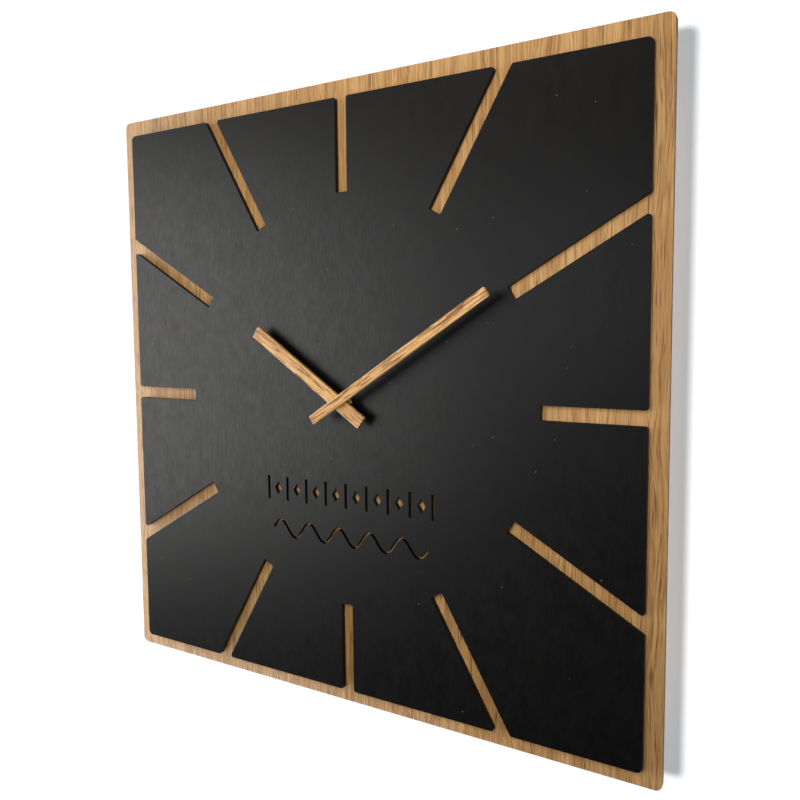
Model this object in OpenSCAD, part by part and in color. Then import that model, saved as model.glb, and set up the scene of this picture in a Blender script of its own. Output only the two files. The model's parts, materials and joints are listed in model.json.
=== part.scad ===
// Square wall clock: an oak board, a black pierced panel and two oak hands, driven by a quartz movement.
// Frame: X to the right as seen from the front, Z up, the dial faces -Y and the wall is the plane Y = 0.
// The origin is the centre of the nail hole. Depths, named d_, are counted from the wall to the front.

/* [Board] */
// Width and height of the oak board
board_w = 500; // [480:5:600]
// Thickness of the board with its veneers
board_t = 4; // [3:0.5:8]
// Thickness of one veneer
veneer_t = 0.6; // [0.4:0.1:0.9]
// Corner radius of the board
board_corner_r = 5; // [1:0.5:12]

/* [Panel] */
// Width and height of the black panel
panel_w = 475; // [460:5:480]
// Thickness of the black panel
panel_t = 4; // [3:0.5:5]
// How far the panel and the dial sit below the middle of the board
panel_drop = 1.5; // [0:0.5:2]
// Corner radius of the panel
panel_corner_r = 4; // [1:0.5:10]
// Width of an hour slot
slot_w = 10.5; // [6:0.5:14]
// Distance from the dial axis to the inner end of a slot
slot_inner_r = 165; // [140:5:190]
// Radius that eases the corners of a slot's mouth
slot_mouth_r = 2; // [0.5:0.5:3]
// Radius of the inner corners of a slot
slot_end_r = 0.6; // [0.3:0.1:1.5]

/* [Ornament] */
// Number of upright bars in the pierced frieze
frieze_bars = 9; // [5:2:11]
// Distance from one bar to the next
frieze_pitch = 20; // [16:1:20]
// Height of a bar
frieze_h = 20; // [10:1:24]
// Width of a bar
frieze_bar_w = 2.2; // [1.5:0.1:4]
// Distance from the dial axis down to the middle of the frieze
frieze_drop = 76; // [70:1:90]
// Length of the pierced wave
wave_len = 150; // [80:5:170]
// Height of the wave from the axis of its line to a crest
wave_amp = 7; // [3:1:10]
// Number of full periods in the wave
wave_periods = 5; // [2:1:6]
// Width of the wave's line
wave_stroke = 2; // [1.5:0.1:3]
// Distance from the dial axis down to the middle of the wave
wave_drop = 110; // [105:1:125]

/* [Hands] */
// Dial axis to the tip of the minute hand
minute_tip = 155.5; // [120:0.5:160]
// Dial axis to the tip of the hour hand
hour_tip = 101; // [80:0.5:120]
// Dial axis to the tail of both hands
hand_tail = 26; // [20:0.5:40]
// Width of the minute hand
minute_w = 7.6; // [7.2:0.1:10]
// Width of the hour hand
hour_w = 10.5; // [10:0.1:14]
// Thickness of both hands
hand_t = 3; // [2.6:0.1:3.2]
// Minute hand's angle, clockwise from twelve
minute_angle = 57.4; // [0:0.1:360]
// Hour hand's angle, clockwise from twelve
hour_angle = 304; // [0:0.1:360]

/* [Hanging] */
// Distance from the wall to the back of the board
standoff = 20; // [20:0.5:24]
// Height of the nail hole above the dial axis
hanger_rise = 40; // [38:1:60]
// Radius of the nail hole
nail_hole_r = 3; // [2:0.5:4]
// Radius of a wall spacer
spacer_r = 10; // [6:1:15]
// Distance from the board's edges to a spacer's axis
spacer_inset = 25; // [20:1:60]
// Thickness of a felt pad
felt_t = 2; // [1:0.5:3]

/* [Movement] */
// Width and height of the movement case
case_w = 56; // [56:0.5:60]
// Corner radius of the case
case_corner_r = 3; // [1:0.5:4]
// Thickness of the case's side walls
case_wall = 1.2; // [1:0.1:1.2]
// Thread radius of the bush
bush_r = 4; // [4:0.1:4.5]
// Distance across the flats of the bush nut
nut_af = 12; // [11:0.5:14]
// Radius of the battery cell
cell_r = 7; // [6.6:0.1:7]
// Length of the battery cell with its cap
cell_len = 50.5; // [49:0.5:50.5]

/* [Gears] */
// Pressure angle of all teeth
pressure_angle = 20; // [20]
// Gap left between meshed teeth at the pitch circle
backlash = 0.06; // [0.05:0.01:0.08]
// Radial running clearance of an arbor in its hole
running_gap = 0.05; // [0.03:0.01:0.06]

/* [Hidden] */
$fn = 64;
fit_gap = 0.1;
dial_z = -hanger_rise;
board_centre_v = panel_drop;

// Depth of each layer, from the wall to the front
d_board_back = standoff;
d_board_front = d_board_back + board_t;
d_panel_front = d_board_front + panel_t;
d_case_back = standoff - 17;
d_case_rim = standoff - 15.5;
d_case_floor = standoff - 2.5;
d_case_front = standoff - 1;
d_nut_back = d_panel_front + 0.6;
d_nut_front = d_nut_back + 2.4;
d_bush_front = d_nut_front + 0.5;
d_hour_back = d_bush_front + 2.5;
d_hour_front = d_hour_back + hand_t;
d_minute_back = d_hour_front + 3;
d_minute_front = d_minute_back + hand_t;

// Inside of the case, as seen from the front about the dial axis
inner_w = case_w / 2 - case_wall;
bay_top = -12.2;
chamber_bottom = -11;
cell_v = -19.5;
cell_plus_u = 26.05;
cell_cap_len = 1.5;
cell_cap_r = 2.7;
d_cell = d_case_floor - 0.2 - cell_r;

// Depth of each gear layer
d_pivot_back = d_case_rim - 0.8;
d_pivot_front = d_case_floor + 0.8;
d_intermediate_wheel = d_case_rim + 0.9;
d_rotor_pinion = d_case_rim + 0.7;
d_intermediate_pinion = d_case_rim + 2.4;
d_seconds_wheel = d_case_rim + 2.7;
d_seconds_pinion = d_case_rim + 4.3;
d_third_wheel = d_case_rim + 4.5;
d_third_pinion = d_case_rim + 6.1;
d_centre_wheel = d_case_rim + 6.5;
d_cannon = d_case_rim + 8.3;
d_motion_wheel = d_case_rim + 8.7;
d_motion_pinion = d_case_rim + 10.1;
d_hour_wheel = d_case_rim + 10.7;
wheel_t = 1;

// Teeth, modules and profile shifts. A wheel takes the opposite shift of its pinion.
cannon_z = 12;
motion_z = 36;
cannon_m = 0.25;
cannon_x = 0.3;
motion_pinion_z = 10;
hour_z = 40;
hour_m = 0.24;
hour_x = 0.4;
leaf_z = 8;
leaf_x = 0.5;
centre_z = 64;
centre_m = 0.255;
third_z = 60;
third_m = 0.27;
intermediate_pinion_z = 16;
seconds_z = 64;
seconds_m = 0.24;
seconds_x = 0.1;
intermediate_z = 60;
intermediate_m = 0.2;
tip_cut = 0.3;

// Radii of arbors and pivots
cannon_r = 1.1;
minute_arbor_r = 1.6;
minute_bore_r = 0.5;
seconds_arbor_r = 0.45;
arbor_r = 0.5;
pivot_r = 0.35;
post_r = 0.7;
hour_pipe_r = 2.5;
set_stem_r = 1.5;
set_pivot_r = 0.6;

// Centres of the arbors about the dial axis, [right, up]
motion_distance = cannon_m * (cannon_z + motion_z) / 2;
third_distance = third_m * (leaf_z + third_z) / 2;
intermediate_distance = seconds_m * (intermediate_pinion_z + seconds_z) / 2;
rotor_distance = intermediate_m * (leaf_z + intermediate_z) / 2;
motion_dir = 200;
set_dir = 215;
third_dir = 150;
intermediate_dir = 40;
rotor_dir = 60;
axis_uv = [0, 0];
motion_uv = polar(motion_distance, motion_dir);
set_uv = motion_uv + polar(motion_distance, set_dir);
third_uv = polar(third_distance, third_dir);
intermediate_uv = polar(intermediate_distance, intermediate_dir);
rotor_uv = intermediate_uv + polar(rotor_distance, rotor_dir);

// Step motor
magnet_r = 3;
stator_hole_r = 3.5;
stator_eye_r = 6;
stator_t = 0.8;
coil_v = 21.6;
core_w = 4;
core_ends = [-23.5, 21.5];
screw_us = [core_ends[0] + core_w / 2, core_ends[1] - core_w / 2];
arm_v = [14.2, 17.2];
bobbin_ends = [-17.5, 15.5];
bobbin_flange_t = 1;
bobbin_flange_r = 3.9;
bobbin_tube_r = 2.5;
winding_r = 3.6;
d_core = d_case_rim + 3.7;
d_stator = d_core + stator_t;
motor_screw_r = 0.8;

// Circuit board and contacts
pcb_u = [13, 26.2];
pcb_v = [-10.6, 6];
pcb_t = 0.8;
d_pcb = d_case_rim + 8;
pcb_posts = [[15, 4], [24, -8]];
strip_t = 0.4;
strip_w = 3.5;
d_strip = d_pcb - strip_w;

// ---- Plane helpers ----

function polar(r, a) = [r * cos(a), r * sin(a)];
function unit(v) = v / norm(v);

// Turns a point clockwise about the dial axis
function clockwise(p, a) = [p.x * cos(a) + p.y * sin(a), p.y * cos(a) - p.x * sin(a)];

// Arc of radius r that takes the place of corner p between its neighbours a and b
function corner_arc(a, p, b, r, steps) =
    let (
        to_a = unit(a - p),
        to_b = unit(b - p),
        half = acos(to_a * to_b) / 2,
        centre = p + unit(to_a + to_b) * r / sin(half),
        from = p + to_a * r / tan(half) - centre,
        to = p + to_b * r / tan(half) - centre,
        start = atan2(from.y, from.x),
        sweep = (atan2(to.y, to.x) - start + 540) % 360 - 180
    )
    [for (i = [0 : steps]) centre + polar(r, start + sweep * i / steps)];

// Outline through corners [x, y, radius], each rounded
function rounded(corners, steps = 4) =
    let (n = len(corners), xy = [for (c = corners) [c.x, c.y]])
    [for (i = [0 : n - 1])
        each corner_arc(xy[(i + n - 1) % n], xy[i], xy[(i + 1) % n], corners[i][2], steps)];

module rounded_square(w, h, r) {
    polygon(rounded([[-w / 2, -h / 2, r], [w / 2, -h / 2, r], [w / 2, h / 2, r], [-w / 2, h / 2, r]], 6));
}

module span(u, v) {
    translate([u[0], v[0]]) square([u[1] - u[0], v[1] - v[0]]);
}

// ---- Depth helpers ----

// Extrudes a front view about the dial axis from depth d0 to depth d1
module layer(d0, d1) {
    translate([0, -d0, dial_z]) rotate([90, 0, 0]) linear_extrude(d1 - d0) children();
}

module rod(uv, r, d0, d1) {
    layer(d0, d1) translate(uv) circle(r);
}

module ring(uv, r_out, r_in, d0, d1) {
    layer(d0, d1) translate(uv) difference() {
        circle(r_out);
        circle(r_in);
    }
}

// Turns a profile of [radius, depth] points about the depth line through uv
module turned(uv, profile) {
    translate([uv.x, 0, dial_z + uv.y]) rotate([90, 0, 0]) rotate_extrude() polygon(profile);
}

// Arbor with a pivot at each end, which turn in the case front and the case back
module pivoted_arbor(uv, r) {
    shoulder = 0.15;
    rod(uv, pivot_r, d_pivot_back, d_pivot_front);
    rod(uv, r, d_case_rim + shoulder, d_case_floor - shoulder);
}

// ---- Gears ----

function involute(a) = tan(a) * 180 / PI - a;

// Half of the angle that a tooth takes at radius r
function tooth_half(z, m, x, r) =
    let (pitch_r = m * z / 2, thickness = m * (PI / 2 + 2 * x * tan(pressure_angle)) - backlash)
    thickness / (2 * pitch_r) * 180 / PI + involute(pressure_angle)
        - involute(acos(pitch_r * cos(pressure_angle) / r));

// Outline of a spur gear with z involute teeth, the first one pointing along angle phase
function gear_outline(z, m, x, cut, phase) =
    let (
        pitch_r = m * z / 2,
        base_r = pitch_r * cos(pressure_angle),
        root_r = pitch_r - m * (1.25 - x),
        tip_r = pitch_r + m * (1 + x - cut),
        foot_r = max(base_r + 0.001, root_r),
        mid_r = (foot_r + tip_r) / 2,
        flank = [
            if (root_r < foot_r - 0.01) [root_r, tooth_half(z, m, x, foot_r)],
            for (r = [foot_r, mid_r, tip_r]) [r, tooth_half(z, m, x, r)]
        ],
        last = len(flank) - 1
    )
    [for (i = [0 : z - 1]) let (middle = phase + 360 * i / z) each [
        for (p = flank) polar(p[0], middle - p[1]),
        for (j = [last : -1 : 0]) polar(flank[j][0], middle + flank[j][1])
    ]];

// Phase that puts gear b in mesh with gear a, where b lies from a along angle dir
function mesh_phase(dir, z_a, phase_a, z_b) = dir + 180 - 360 / z_b * (0.5 - (dir - phase_a) * z_a / 360);

module toothed(uv, z, m, x, cut, phase, d0, d1) {
    layer(d0, d1) translate(uv) polygon(gear_outline(z, m, x, cut, phase));
}

motion_phase = mesh_phase(motion_dir, cannon_z, 0, motion_z);
hour_phase = mesh_phase(motion_dir + 180, motion_pinion_z, 0, hour_z);
set_phase = mesh_phase(set_dir, motion_z, motion_phase, cannon_z);
third_pinion_phase = mesh_phase(third_dir, centre_z, 0, leaf_z);
seconds_pinion_phase = mesh_phase(third_dir + 180, third_z, 0, leaf_z);
intermediate_pinion_phase = mesh_phase(intermediate_dir, seconds_z, 0, intermediate_pinion_z);
rotor_phase = mesh_phase(rotor_dir, intermediate_z, 0, leaf_z);

// ---- Board and panel ----

module board_sheet(d0, d1) {
    layer(d0, d1) difference() {
        translate([0, board_centre_v]) rounded_square(board_w, board_w, board_corner_r);
        circle(bush_r + fit_gap);
    }
}

module board_core() {
    color("peru") board_sheet(d_board_back + veneer_t, d_board_front - veneer_t);
}

module oak_face_veneer() {
    color("burlywood") board_sheet(d_board_front - veneer_t, d_board_front);
}

module oak_back_veneer() {
    color("burlywood") board_sheet(d_board_back, d_board_back + veneer_t);
}

// Corner of the slot at angle a: side is -1 or 1, and it lies at radius slot_inner_r or on the panel's edge
function slot_inner(a, side) = clockwise([side * slot_w / 2, slot_inner_r], a);
function slot_mouth(a, side) =
    let (along = (panel_w / 2 + side * slot_w / 2 * sin(a)) / cos(a))
    clockwise([side * slot_w / 2, along], a);

// The panel's outline, side by side, with three open slots in each side
function panel_corners() =
    [for (quarter = [0 : 3]) let (
        side = [
            [-panel_w / 2, panel_w / 2, panel_corner_r],
            for (a = [-30, 0, 30]) each [
                [each slot_mouth(a, -1), slot_mouth_r],
                [each slot_inner(a, -1), slot_end_r],
                [each slot_inner(a, 1), slot_end_r],
                [each slot_mouth(a, 1), slot_mouth_r]
            ]
        ])
        for (c = side) [each clockwise([c.x, c.y], 90 * quarter), c[2]]];

// Upright bars with a lozenge between each pair
module frieze() {
    lozenge_w = 7;
    lozenge_h = 11;
    half_row = (frieze_bars - 1) / 2;
    for (i = [-half_row : half_row]) {
        translate([i * frieze_pitch - frieze_bar_w / 2, -frieze_drop - frieze_h / 2])
            square([frieze_bar_w, frieze_h]);
        if (i < half_row)
            translate([(i + 0.5) * frieze_pitch, -frieze_drop])
                polygon([[-lozenge_w / 2, 0], [0, lozenge_h / 2], [lozenge_w / 2, 0], [0, -lozenge_h / 2]]);
    }
}

function wave_point(t) = [wave_len * (t - 0.5), wave_amp * sin(360 * wave_periods * t) - wave_drop];
function wave_normal(t) =
    let (slope = wave_amp * cos(360 * wave_periods * t) * 2 * PI * wave_periods / wave_len)
    unit([-slope, 1]);

// Line of even width along a sine wave
module wave() {
    steps = wave_periods * 16;
    polygon([
        for (i = [0 : steps]) wave_point(i / steps) + wave_normal(i / steps) * wave_stroke / 2,
        for (i = [steps : -1 : 0]) wave_point(i / steps) - wave_normal(i / steps) * wave_stroke / 2
    ]);
}

module dial_panel() {
    color("#232325") layer(d_board_front, d_panel_front) difference() {
        polygon(rounded(panel_corners()));
        circle(bush_r + fit_gap);
        frieze();
        wave();
    }
}

// ---- Hands ----

module hand_strip(w, tip, angle) {
    rotate(-angle) translate([-w / 2, -hand_tail]) square([w, tip + hand_tail]);
}

module minute_hand() {
    color("burlywood") layer(d_minute_back, d_minute_front) hand_strip(minute_w, minute_tip, minute_angle);
}

// Brass cap on the end of the minute arbor, which the minute hand is bonded to
module minute_hand_bush() {
    cap_r = 3.5;
    collar_r = 2.6;
    color("gold") difference() {
        union() {
            rod(axis_uv, cap_r, d_minute_back - 1.2, d_minute_back);
            rod(axis_uv, collar_r, d_minute_back - 2.4, d_minute_back);
        }
        rod(axis_uv, minute_arbor_r, d_minute_back - 3, d_minute_back - 0.5);
    }
}

module hour_hand() {
    pocket_depth = 2.2;
    color("burlywood") difference() {
        layer(d_hour_back, d_hour_front) hand_strip(hour_w, hour_tip, hour_angle);
        rod(axis_uv, hour_pipe_r + 0.5, d_hour_back - 1, d_hour_back + pocket_depth);
        rod(axis_uv, minute_arbor_r + 0.3, d_hour_back, d_hour_front + 1);
    }
}

// Brass eyelet pressed into the hour hand from behind
module hour_hand_bush() {
    flange_r = 5;
    color("gold") difference() {
        union() {
            rod(axis_uv, flange_r, d_hour_back - 0.8, d_hour_back);
            rod(axis_uv, hour_pipe_r + 0.5, d_hour_back - 0.8, d_hour_back + 2);
        }
        rod(axis_uv, hour_pipe_r, d_hour_back - 2, d_hour_back + 3);
    }
}

// ---- Clamping and hanging ----

module threaded_bush() {
    flange_r = 5;
    color("goldenrod") difference() {
        union() {
            rod(axis_uv, bush_r, d_case_floor - 0.8, d_bush_front);
            rod(axis_uv, flange_r, d_case_floor - 0.8, d_case_floor);
        }
        rod(axis_uv, hour_pipe_r + running_gap, d_case_floor - 2, d_bush_front + 1);
    }
}

module bush_washer() {
    color("goldenrod") ring(axis_uv, nut_af / 2 + 1.5, bush_r, d_panel_front, d_nut_back);
}

module bush_nut() {
    color("goldenrod") difference() {
        layer(d_nut_back, d_nut_front) circle(nut_af / 2 / cos(30), $fn = 6);
        rod(axis_uv, bush_r, d_nut_back - 1, d_nut_front + 1);
    }
}

// Bent steel strip between case and board, whose tab lies on the wall and takes the nail
module hanger_bracket() {
    bracket_w = 24;
    sheet_t = 1;
    web_v = case_w / 2 + 1.5;
    tab_top = hanger_rise + 9;
    color("silver") difference() {
        union() {
            layer(d_case_front, d_board_back) span([-bracket_w / 2, bracket_w / 2], [-11, web_v + sheet_t]);
            layer(0, d_board_back) span([-bracket_w / 2, bracket_w / 2], [web_v, web_v + sheet_t]);
            layer(0, sheet_t) span([-bracket_w / 2, bracket_w / 2], [web_v, tab_top]);
        }
        rod(axis_uv, bush_r + fit_gap, d_case_front - 1, d_board_back + 1);
        rod([0, hanger_rise], nail_hole_r, -1, sheet_t + 1);
    }
}

spacer_offset = board_w / 2 - spacer_inset;
// Spacers in the order top left, top right, bottom right, bottom left
function spacer_uv(i) = [for (s = [[-1, 1], [1, 1], [1, -1], [-1, -1]]) s * spacer_offset + [0, board_centre_v]][i];

module wall_spacer(i) {
    color("#2a2a2a") rod(spacer_uv(i), spacer_r, felt_t, d_board_back);
}

module felt_pad(i) {
    color("dimgray") rod(spacer_uv(i), spacer_r, 0, felt_t);
}

// ---- Movement case ----

module case_front() {
    motor_post_r = 2.2;
    pcb_post_r = 1.1;
    slot_d = [d_strip - 0.3, d_pcb + 0.3];
    color("#1b1b1d") difference() {
        union() {
            difference() {
                layer(d_case_back, d_case_front) rounded_square(case_w, case_w, case_corner_r);
                layer(d_case_back - 1, d_case_rim) span([-case_w, case_w], [bay_top, case_w]);
                layer(d_case_back - 1, d_case_floor) span([-inner_w, inner_w], [chamber_bottom, inner_w]);
                layer(d_case_back - 1, d_case_floor) span([-inner_w, inner_w], [-inner_w, bay_top]);
            }
            for (u = screw_us) rod([u, coil_v], motor_post_r, d_stator + stator_t, d_case_floor + 0.5);
            for (p = pcb_posts) rod(p, pcb_post_r, d_pcb + pcb_t, d_case_floor + 0.5);
            rod(motion_uv, post_r, d_motion_wheel - 0.2, d_case_floor + 0.5);
        }
        rod(axis_uv, bush_r, d_case_floor - 1, d_case_front + 1);
        for (uv = [third_uv, intermediate_uv, rotor_uv])
            rod(uv, pivot_r + running_gap, d_case_floor - 1, d_pivot_front + 0.1);
        rod(set_uv, set_pivot_r + running_gap, d_case_floor - 1, d_pivot_front + 0.1);
        for (u = screw_us) rod([u, coil_v], motor_screw_r, d_stator, d_stator + 5);
        layer(slot_d[0], slot_d[1]) span([inner_w - 0.9, inner_w], [bay_top - 1, chamber_bottom + 1]);
        layer(slot_d[0], slot_d[1]) span([-inner_w, -inner_w + 0.9], [bay_top - 1, chamber_bottom + 1]);
    }
}

module case_back() {
    lug_w = 6;
    lug_t = 0.9;
    lug_h = 3;
    lid_v = [bay_top, case_w / 2];
    color("#1b1b1d") difference() {
        union() {
            layer(d_case_back, d_case_rim) intersection() {
                rounded_square(case_w, case_w, case_corner_r);
                span([-case_w, case_w], lid_v);
            }
            for (side = [-1, 1])
                layer(d_case_rim - 0.1, d_case_rim + lug_h)
                    translate([side * (inner_w - lug_t / 2), 0]) square([lug_t, lug_w], center = true);
        }
        for (uv = [third_uv, intermediate_uv, rotor_uv, axis_uv])
            rod(uv, pivot_r + running_gap, d_pivot_back - 0.1, d_case_rim + 1);
        rod(set_uv, set_stem_r + running_gap, d_case_back - 1, d_case_rim + 1);
    }
}

// ---- Hand setting ----

module set_knob() {
    knob_r = 5;
    ribs = 24;
    color("#d8d8d4") difference() {
        union() {
            rod(set_uv, knob_r - 0.3, d_case_back - 2, d_case_back - 0.2);
            for (i = [0 : ribs - 1])
                rod(set_uv + polar(knob_r - 0.35, 360 * i / ribs), 0.35, d_case_back - 2, d_case_back - 0.2);
        }
        rod(set_uv, 1, d_case_back - 1.6, d_case_back);
    }
}

module set_arbor() {
    color("#d8d8d4") union() {
        rod(set_uv, 1, d_case_back - 1.6, d_case_back);
        rod(set_uv, set_stem_r, d_case_back - 0.2, d_motion_wheel - 0.2);
        toothed(set_uv, cannon_z, cannon_m, cannon_x, tip_cut, set_phase,
            d_motion_wheel - 0.2, d_motion_wheel + wheel_t + 0.2);
        rod(set_uv, set_pivot_r, d_motion_wheel, d_pivot_front);
    }
}

// ---- Motion work ----

// Hollow arbor with the cannon pinion, turned once an hour
module minute_arbor() {
    seat_back = d_centre_wheel - 0.4;
    color("silver") difference() {
        union() {
            rod(axis_uv, minute_arbor_r, seat_back, d_centre_wheel - 0.05);
            rod(axis_uv, cannon_r, seat_back, d_cannon);
            toothed(axis_uv, cannon_z, cannon_m, cannon_x, tip_cut, 0, d_cannon, d_cannon + 2);
            rod(axis_uv, minute_arbor_r, d_cannon + 2, d_minute_back - 0.5);
        }
        rod(axis_uv, minute_bore_r, seat_back - 1, d_minute_back - 1.5);
    }
}

// Dished washer that presses the centre wheel, so that the hands can slip when they are set
module clutch_spring() {
    front = d_cannon;
    back = d_centre_wheel + wheel_t + 0.05;
    sheet = 0.3;
    color("gold") turned(axis_uv, [
        [cannon_r, front - sheet], [2.2, front - sheet], [3.4, back], [3.6, back + 0.2],
        [2.4, front], [cannon_r, front]
    ]);
}

module motion_wheel() {
    color("ivory") difference() {
        union() {
            toothed(motion_uv, motion_z, cannon_m, -cannon_x, 0, motion_phase,
                d_motion_wheel, d_motion_wheel + wheel_t);
            toothed(motion_uv, motion_pinion_z, hour_m, hour_x, tip_cut, 0,
                d_motion_wheel + wheel_t, d_hour_wheel + 1.2);
        }
        rod(motion_uv, post_r + running_gap, d_motion_wheel - 1, d_case_floor);
    }
}

module hour_wheel() {
    color("ivory") difference() {
        union() {
            toothed(axis_uv, hour_z, hour_m, -hour_x, 0, hour_phase, d_hour_wheel, d_hour_wheel + 1.1);
            rod(axis_uv, hour_pipe_r, d_hour_wheel, d_hour_back + 2);
        }
        rod(axis_uv, minute_arbor_r + running_gap, d_hour_wheel - 1, d_hour_back + 3);
    }
}

// ---- Going train ----

module centre_wheel() {
    color("ivory") difference() {
        toothed(axis_uv, centre_z, centre_m, -leaf_x, 0, 0, d_centre_wheel, d_centre_wheel + wheel_t);
        rod(axis_uv, cannon_r + running_gap, d_centre_wheel - 1, d_centre_wheel + wheel_t + 1);
    }
}

module third_wheel() {
    color("ivory") union() {
        toothed(third_uv, third_z, third_m, -leaf_x, 0, 0, d_third_wheel, d_third_wheel + wheel_t);
        toothed(third_uv, leaf_z, centre_m, leaf_x, tip_cut, third_pinion_phase,
            d_third_pinion, d_third_pinion + 1.8);
        pivoted_arbor(third_uv, 0.6);
    }
}

module seconds_wheel() {
    color("ivory") difference() {
        union() {
            toothed(axis_uv, seconds_z, seconds_m, -seconds_x, 0, 0,
                d_seconds_wheel, d_seconds_wheel + wheel_t);
            toothed(axis_uv, leaf_z, third_m, leaf_x, tip_cut, seconds_pinion_phase,
                d_seconds_wheel + wheel_t, d_seconds_pinion + 1.4);
        }
        rod(axis_uv, seconds_arbor_r, d_case_rim, d_case_floor);
    }
}

module seconds_arbor() {
    color("silver") union() {
        rod(axis_uv, pivot_r, d_pivot_back, d_case_rim + 1);
        rod(axis_uv, seconds_arbor_r, d_case_rim + 0.15, d_minute_back - 2);
    }
}

module intermediate_wheel() {
    color("ivory") union() {
        toothed(intermediate_uv, intermediate_z, intermediate_m, -leaf_x, 0, 0,
            d_intermediate_wheel, d_intermediate_wheel + 0.8);
        toothed(intermediate_uv, intermediate_pinion_z, seconds_m, seconds_x, tip_cut,
            intermediate_pinion_phase, d_intermediate_pinion, d_intermediate_pinion + 1.6);
        pivoted_arbor(intermediate_uv, arbor_r);
    }
}

module rotor_pinion() {
    color("ivory") union() {
        toothed(rotor_uv, leaf_z, intermediate_m, leaf_x, tip_cut, rotor_phase,
            d_rotor_pinion, d_rotor_pinion + 1.4);
        pivoted_arbor(rotor_uv, arbor_r);
    }
}

module rotor_magnet() {
    half_t = 1.4;
    middle = d_stator + stator_t / 2;
    color("dimgray") ring(rotor_uv, magnet_r, arbor_r, middle - half_t, middle + half_t);
}

// ---- Step motor ----

module stator() {
    color("lightsteelblue") layer(d_stator, d_stator + stator_t) difference() {
        union() {
            translate(rotor_uv) circle(stator_eye_r);
            span(core_ends, arm_v);
            span([core_ends[0], core_ends[0] + core_w], [arm_v[0], coil_v + core_w / 2]);
            span([core_ends[1] - core_w, core_ends[1]], [arm_v[0], coil_v + core_w / 2]);
        }
        translate(rotor_uv) circle(stator_hole_r);
        for (u = screw_us) translate([u, coil_v]) circle(motor_screw_r);
    }
}

module coil_core() {
    color("lightsteelblue") layer(d_core, d_core + stator_t) difference() {
        span(core_ends, [coil_v - core_w / 2, coil_v + core_w / 2]);
        for (u = screw_us) translate([u, coil_v]) circle(motor_screw_r);
    }
}

// Round piece on the coil's axis, from u0 to u1
module coil_round(r, u0, u1) {
    translate([u0, -d_core - stator_t / 2, dial_z + coil_v]) rotate([0, 90, 0]) cylinder(r = r, h = u1 - u0);
}

module coil_bobbin() {
    color("seagreen") difference() {
        union() {
            coil_round(bobbin_tube_r, bobbin_ends[0], bobbin_ends[1]);
            coil_round(bobbin_flange_r, bobbin_ends[0], bobbin_ends[0] + bobbin_flange_t);
            coil_round(bobbin_flange_r, bobbin_ends[1] - bobbin_flange_t, bobbin_ends[1]);
        }
        layer(d_core, d_core + stator_t) span(core_ends, [coil_v - core_w / 2, coil_v + core_w / 2]);
    }
}

module coil_winding() {
    u0 = bobbin_ends[0] + bobbin_flange_t;
    u1 = bobbin_ends[1] - bobbin_flange_t;
    color("chocolate") difference() {
        coil_round(winding_r, u0, u1);
        coil_round(bobbin_tube_r, u0 - 1, u1 + 1);
    }
}

module motor_screws() {
    color("silver") for (u = screw_us) {
        rod([u, coil_v], motor_screw_r, d_core, d_core + 5);
        difference() {
            rod([u, coil_v], 1.5, d_core - 0.9, d_core);
            layer(d_core - 1, d_core - 0.5) translate([u, coil_v]) square([3.2, 0.4], center = true);
        }
    }
}

// ---- Circuit and power ----

module circuit_board() {
    color("darkgreen") layer(d_pcb, d_pcb + pcb_t) span(pcb_u, pcb_v);
}

module chip_cover() {
    color("#101010") turned([18.5, -3], [[0, d_pcb], [3.2, d_pcb], [2.9, d_pcb - 0.5], [2, d_pcb - 0.9], [0, d_pcb - 1]]);
}

module crystal() {
    can_r = 1;
    color("silver") translate([16.5, -d_pcb + can_r, dial_z + 3.5]) rotate([0, 90, 0]) cylinder(r = can_r, h = 6);
}

module contact_plus() {
    color("gold") layer(d_strip, d_pcb) span([pcb_u[1], pcb_u[1] + strip_t], [-24, -6]);
}

// Strip with a sprung tongue behind the cell's minus end, and a rail to the circuit board
module contact_minus() {
    tongue_u = cell_plus_u - cell_len - 0.15;
    wall_u = -inner_w;
    color("gold") union() {
        layer(d_strip, d_pcb) span([wall_u, wall_u + strip_t], [-24, chamber_bottom + strip_t]);
        layer(d_strip, d_pcb) span([wall_u, pcb_u[0] + 2], [chamber_bottom, chamber_bottom + strip_t]);
        layer(d_strip, d_pcb) polygon([
            [wall_u + strip_t, -23], [tongue_u, -20], [tongue_u, -18], [tongue_u - strip_t, -18],
            [tongue_u - strip_t, -20], [wall_u + strip_t, -22.5]
        ]);
    }
}

// Round piece on the battery's axis, from u0 to u1
module cell_round(r, u0, u1) {
    translate([u0, -d_cell, dial_z + cell_v]) rotate([0, 90, 0]) cylinder(r = r, h = u1 - u0);
}

module battery_can() {
    color("#3c5878") cell_round(cell_r, cell_plus_u - cell_len, cell_plus_u - cell_cap_len);
}

module battery_cap() {
    color("silver") cell_round(cell_cap_r, cell_plus_u - cell_cap_len, cell_plus_u);
}

// ---- The nodes ----

board_core();
oak_face_veneer();
oak_back_veneer();
dial_panel();
minute_hand();
minute_hand_bush();
hour_hand();
hour_hand_bush();
bush_nut();
bush_washer();
threaded_bush();
hanger_bracket();
wall_spacer(0);  // wall_spacer_1
wall_spacer(1);  // wall_spacer_2
wall_spacer(2);  // wall_spacer_3
wall_spacer(3);  // wall_spacer_4
felt_pad(0);  // felt_pad_1
felt_pad(1);  // felt_pad_2
felt_pad(2);  // felt_pad_3
felt_pad(3);  // felt_pad_4
case_front();
case_back();
set_knob();
set_arbor();
minute_arbor();
clutch_spring();
motion_wheel();
hour_wheel();
centre_wheel();
third_wheel();
seconds_wheel();
seconds_arbor();
intermediate_wheel();
rotor_pinion();
rotor_magnet();
stator();
coil_core();
coil_bobbin();
coil_winding();
motor_screws();
circuit_board();
chip_cover();
crystal();
contact_plus();
contact_minus();
battery_can();
battery_cap();
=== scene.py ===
import json
import math

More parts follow.
